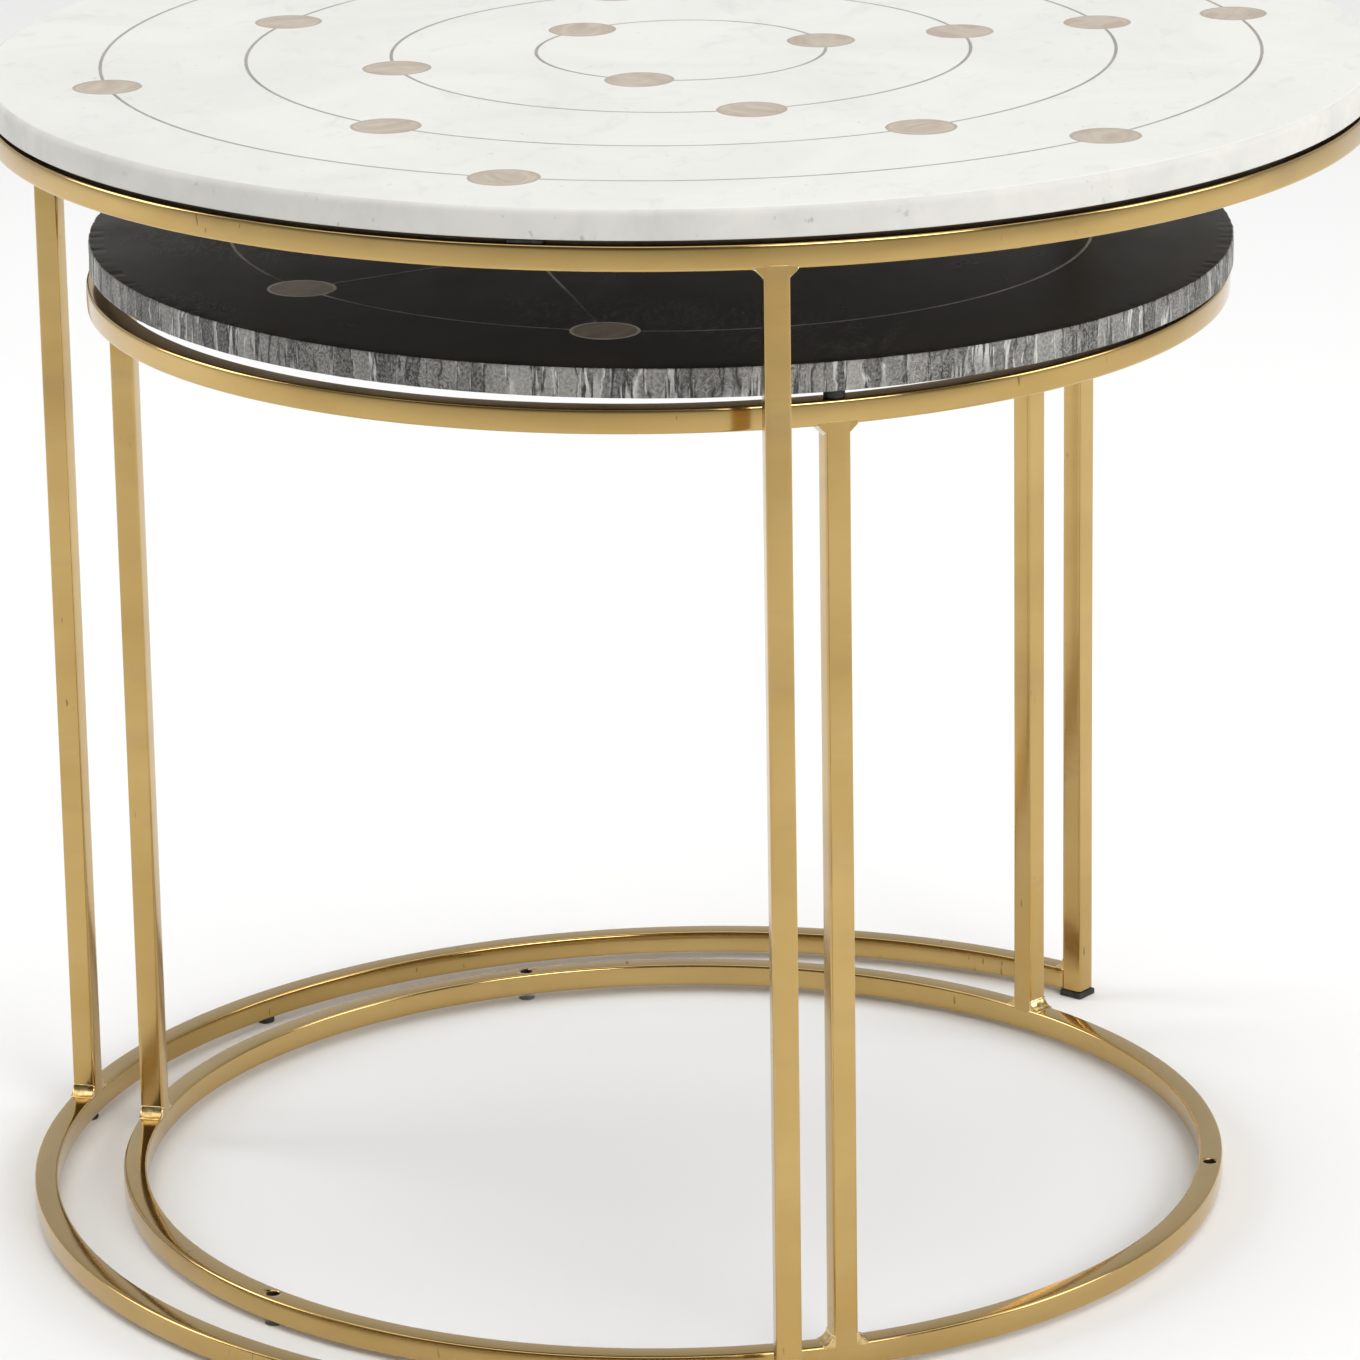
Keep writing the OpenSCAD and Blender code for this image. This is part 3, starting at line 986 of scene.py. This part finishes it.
# The black slab lies loose and slightly out of level, higher towards the back left
SLAB_TIP = math.radians(0.62)
SLAB_TIP_AXIS = (0.9272, 0.3746, 0.0)
# The holes for the glides' stems: radius, and the width and depth of the countersink
HOLE_R = 3.0 * MM
SINK_WIDTH = 0.45 * MM
SINK_DEPTH = 0.35 * MM
HOLE_STEPS = 48


def black_profile(thick):
    """The black slab's edge: upright, with rows close enough to be chipped."""
    levels = (0.06, 0.14, 0.22, 0.3, 0.38, 0.46, 0.54, 0.62, 0.7, 0.78, 0.86, 0.93)
    profile = [(0.8 * MM, 0.0), (0.2 * MM, 0.3 * MM)]
    profile += [(0.0, thick * f) for f in levels]
    profile += [(0.1 * MM, thick - 0.3 * MM), (0.45 * MM, thick - 0.05 * MM)]
    return profile + [(1.0 * MM, thick), (7 * MM, thick)]


def settle_slab(mesh):
    """Tips a mesh with the loose black slab, which has sunk a little into its pads on one side."""
    base = Vector((BLACK_AXIS.x, BLACK_AXIS.y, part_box("black_marble_top")[0].z))
    tip = Matrix.Rotation(SLAB_TIP, 4, Vector(SLAB_TIP_AXIS))
    mesh.transform(Matrix.Translation(base) @ tip @ Matrix.Translation(-base))


def sunk(point):
    """How far the tipped slab's lower face is above its level place, over a point."""
    arm = Vector((point.x - BLACK_AXIS.x, point.y - BLACK_AXIS.y, 0))
    return Vector(SLAB_TIP_AXIS).cross(arm).z * math.tan(SLAB_TIP)


def stretch_pads(pads):
    """Stretches or squeezes the low table's pads, so that they end at the tipped slab."""
    low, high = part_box("low_slab_pads")
    for vert in pads.data.vertices:
        vert.co.z += sunk(vert.co) * (vert.co.z - low.z) / (high.z - low.z)


def build_low(look):
    """The low table, with its black top."""
    body = "low_frame"
    hidden = turn_of(centre("low_back_leg"), LOW_AXIS)
    ring_piece("low_top_ring", LOW_AXIS, body, look["ring"], hidden, hidden + TAU, 3.9)
    base = ring_piece("low_base_ring", LOW_AXIS, body, look["ring"], hidden, hidden + TAU, 8.2)
    drill(base, "low_glides", look["bore"])
    legs = ("low_back_leg", "low_left_leg", "low_right_leg")
    for k, name in enumerate(legs):
        leg_piece(name, LOW_AXIS, body, look["leg"], LIP, 5.0 + k)
    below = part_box("low_top_ring")[0].z
    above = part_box("low_base_ring")[1].z
    welds_piece("low_welds", body, look["welds"], weld_spots(legs, LOW_AXIS, LOW_R, below, above))
    profile = black_profile(height_of("black_marble_top"))
    lines = ["black_inlay_outer_ring", "black_inlay_inner_ring", "black_inlay_lines"]
    cutters = lines + ["black_inlay_discs"]
    top = ("black_marble_top", "black_top", look["stone"])
    tipped = [slab_piece(*top, profile, 0.9 * MM, black_shape, 4.0, cutters)]
    tipped.append(discs_piece("black_inlay_discs", "black_top", look["disc"], 9.0))
    tipped += [softened(name, "black_top", look["line"], 0.1 * MM, 1) for name in lines]
    for piece in tipped:
        settle_slab(piece.data)
    stretch_pads(softened("low_slab_pads", body, look["pad"], 0.5 * MM))
    softened("low_glides", body, look["glide"], 0.4 * MM)


def drill(obj, node, lining):
    """Cuts the holes for a node's stems through the base ring, and lines their walls."""
    work = bmesh.new()
    low, top = (corner.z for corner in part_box("low_base_ring"))
    wide = HOLE_R + SINK_WIDTH
    rows = [(HOLE_R, low - 1 * MM), (HOLE_R, top - SINK_DEPTH)]
    rows += [(wide, top + 0.1 * MM), (wide, top + 1 * MM)]
    places = [(a + b) / 2 for a, b in solid_boxes(node)]
    for middle in places:
        rings = []
        for r, z in rows:
            spokes = [direction(TAU * i / HOLE_STEPS) * r for i in range(HOLE_STEPS)]
            ring = [(middle.x + spoke.x, middle.y + spoke.y, z) for spoke in spokes]
            rings.append([work.verts.new(p) for p in ring])
        for lower, upper in zip(rings, rings[1:]):
            for i in range(HOLE_STEPS):
                k = (i + 1) % HOLE_STEPS
                work.faces.new((lower[i], lower[k], upper[k], upper[i]))
        work.faces.new(rings[0][::-1])
        work.faces.new(rings[-1])
    cut_away(obj, object_from(work, "drill"), "holes", False)
    obj.data.materials.append(lining)
    for face in obj.data.polygons:
        upright = abs(face.normal.z) < 0.2
        if upright and any(math.dist(face.center[:2], p[:2]) < HOLE_R + 0.3 * MM for p in places):
            face.material_index = 1


# ---------------------------------------------------------------- studio

CAMERA_PLACE = (-2.7964, -0.8050, 1.1428)
CAMERA_RIGHT = (0.27359, -0.96172, -0.01540)
CAMERA_UP = (0.28957, 0.06709, 0.95480)
CAMERA_FORWARD = (0.91722, 0.26568, -0.29685)
CAMERA_LENS = 178.75
CAMERA_SENSOR = 36.0
# The level direction from the tables towards the side that the camera stands on
TOWARDS = (-0.9605, -0.2782, 0.0)


def make_camera():
    """The camera, at the photograph's viewing angle."""
    data = bpy.data.cameras.new("camera")
    data.lens = CAMERA_LENS
    data.sensor_width = CAMERA_SENSOR
    data.clip_start = 0.05
    data.clip_end = 100.0
    camera = bpy.data.objects.new("camera", data)
    bpy.context.scene.collection.objects.link(camera)
    right, up, forward = Vector(CAMERA_RIGHT), Vector(CAMERA_UP), Vector(CAMERA_FORWARD)
    turned = Matrix((right, up, -forward)).transposed()
    camera.matrix_world = Matrix.Translation(CAMERA_PLACE) @ turned.to_4x4()
    bpy.context.scene.camera = camera


FLOOR_SIZE = 30.0
FLOOR_CELLS = 6
FLOOR_TONES = ((0.90, 0.90, 0.90), (0.92, 0.92, 0.92))
SKY_BACK = (0.62, 0.62, 0.61)
SKY_FRONT = (0.10, 0.10, 0.10)
SKY_ABOVE = (0.36, 0.36, 0.355)


def make_floor():
    """A wide, plain pale floor."""
    work = bmesh.new()
    step = FLOOR_SIZE / FLOOR_CELLS
    marks = [step * i - FLOOR_SIZE / 2 for i in range(FLOOR_CELLS + 1)]
    grid = [[work.verts.new((x, y, 0)) for x in marks] for y in marks]
    for near, far in zip(grid, grid[1:]):
        for i in range(FLOOR_CELLS):
            work.faces.new((near[i], near[i + 1], far[i + 1], far[i]))
    floor = object_from(work, "floor")
    g = Graph("floor_white", Specular_IOR_Level=0.1)
    tone = g.noise(g.place(), 0.7, 2.0, 0.5)
    pale = g.mix(g.span(tone, 0.3, 0.7), FLOOR_TONES[0], FLOOR_TONES[1])
    floor.data.materials.append(g.finish(pale, g.span(tone, 0.3, 0.7, 0.8, 0.9)))


class Sky(Graph):
    """The surroundings' node tree."""

    def __init__(self, name):
        self.world = bpy.data.worlds.new(name)
        self.world.use_nodes = True
        self.tree = self.world.node_tree
        self.shader = next(n for n in self.tree.nodes if n.type == "BACKGROUND")


def make_world():
    """Plain grey surroundings, dimmer above and on the side that the camera stands on."""
    g = Sky("studio")
    place = g.node("ShaderNodeTexCoord").outputs["Generated"]
    up = g.split(place)[2]
    facing = g.along(place, TOWARDS)
    lit = g.mix(g.span(facing, -0.7, 0.7), SKY_BACK, SKY_FRONT)
    lit = g.mix(g.span(up, 0.30, 0.80), lit, SKY_ABOVE)
    g.feed(g.shader.inputs["Color"], lit)
    bpy.context.scene.world = g.world


# The softboxes: name, place, target, width, height, watts and spread in degrees
SOFTBOXES = (
    ("overhead", (0.40, 0.10, 5.5), (0.40, 0.10, 0.0), 9.0, 9.0, 180, 130),
    ("left_bank", (-0.3, 3.2, 1.5), (0.3, 0, 0.0), 1.6, 2.0, 15, 110),
    ("right_bank", (0.6, -3.2, 1.5), (0.3, 0, 0.0), 1.6, 2.0, 15, 110),
    ("front_fill", (-2.3, -2.3, 1.6), (0, 0, 0.45), 2.0, 1.4, 8, 60),
)


def soft_light(name, place, target, width, height, watts, spread):
    """A softbox. spread is the angle, in degrees, that its grid lets light out over."""
    data = bpy.data.lights.new(name, "AREA")
    data.shape = "RECTANGLE"
    data.size = width
    data.size_y = height
    data.energy = watts
    data.spread = math.radians(spread)
    light = bpy.data.objects.new(name, data)
    bpy.context.scene.collection.objects.link(light)
    light.location = place
    aim = Vector(target) - Vector(place)
    light.rotation_mode = "QUATERNION"
    light.rotation_quaternion = aim.to_track_quat("-Z", "Y")


def make_studio():
    """The floor, the surroundings and the lights."""
    make_world()
    make_floor()
    for softbox in SOFTBOXES:
        soft_light(*softbox)
    bpy.context.scene.view_settings.view_transform = "Standard"
    bpy.context.scene.view_settings.look = "None"


def disc_pale():
    """The discs in the white slab."""
    tones = ((0.66, 0.575, 0.465), (0.53, 0.43, 0.33), (0.40, 0.34, 0.26))
    return disc_metal("disc_pale", *tones, 0.5, 0.30)


def disc_dusk():
    """The discs in the black slab."""
    # The last tone, a pale cream, is the painted highlight round each disc's rim
    tones = ((0.74, 0.61, 0.44), (0.56, 0.45, 0.31), (0.95, 0.88, 0.74))
    return disc_metal("disc_dusk", *tones, 0.45, 0.20)


def main():
    make_camera()
    tall_leg = bar_brass("brass_tall_leg", 0.19, heat_and_shade=TALL_HEAT_AND_SHADE)
    low_leg = bar_brass("brass_low_leg", 0.19, heat_and_shade=LOW_HEAT_AND_SHADE)
    # The ground welds' pale colour is partly a painted highlight
    ground = bar_brass("brass_ground_highlight", 0.16, GROUND_BRASS_HIGHLIGHT, GROUND_BRASS_HIGHLIGHT_DEEP)
    beads = [weld_brass(), ground]
    # Dark painted shade on both slabs' undersides
    under = underside_shade()
    shared = {"ring": bar_brass("brass_ring"), "pad": rubber()}
    build_tall({
        **shared,
        "leg": tall_leg,
        "welds": beads + [tall_leg],
        "stone": [white_marble(), white_marble_rim(), under],
        "disc": disc_pale(),
        "line": line_metal("line_pale", (0.50, 0.48, 0.43), (0.37, 0.355, 0.32)),
    })
    build_low({
        **shared,
        "leg": low_leg,
        "welds": beads + [low_leg],
        "stone": [black_marble(), black_marble_rim(), under],
        "disc": disc_dusk(),
        "line": line_metal("line_dusk", (0.66, 0.60, 0.50), (0.44, 0.40, 0.33)),
        "glide": nylon(),
        "bore": bore_dark(),
    })
    make_studio()


main()
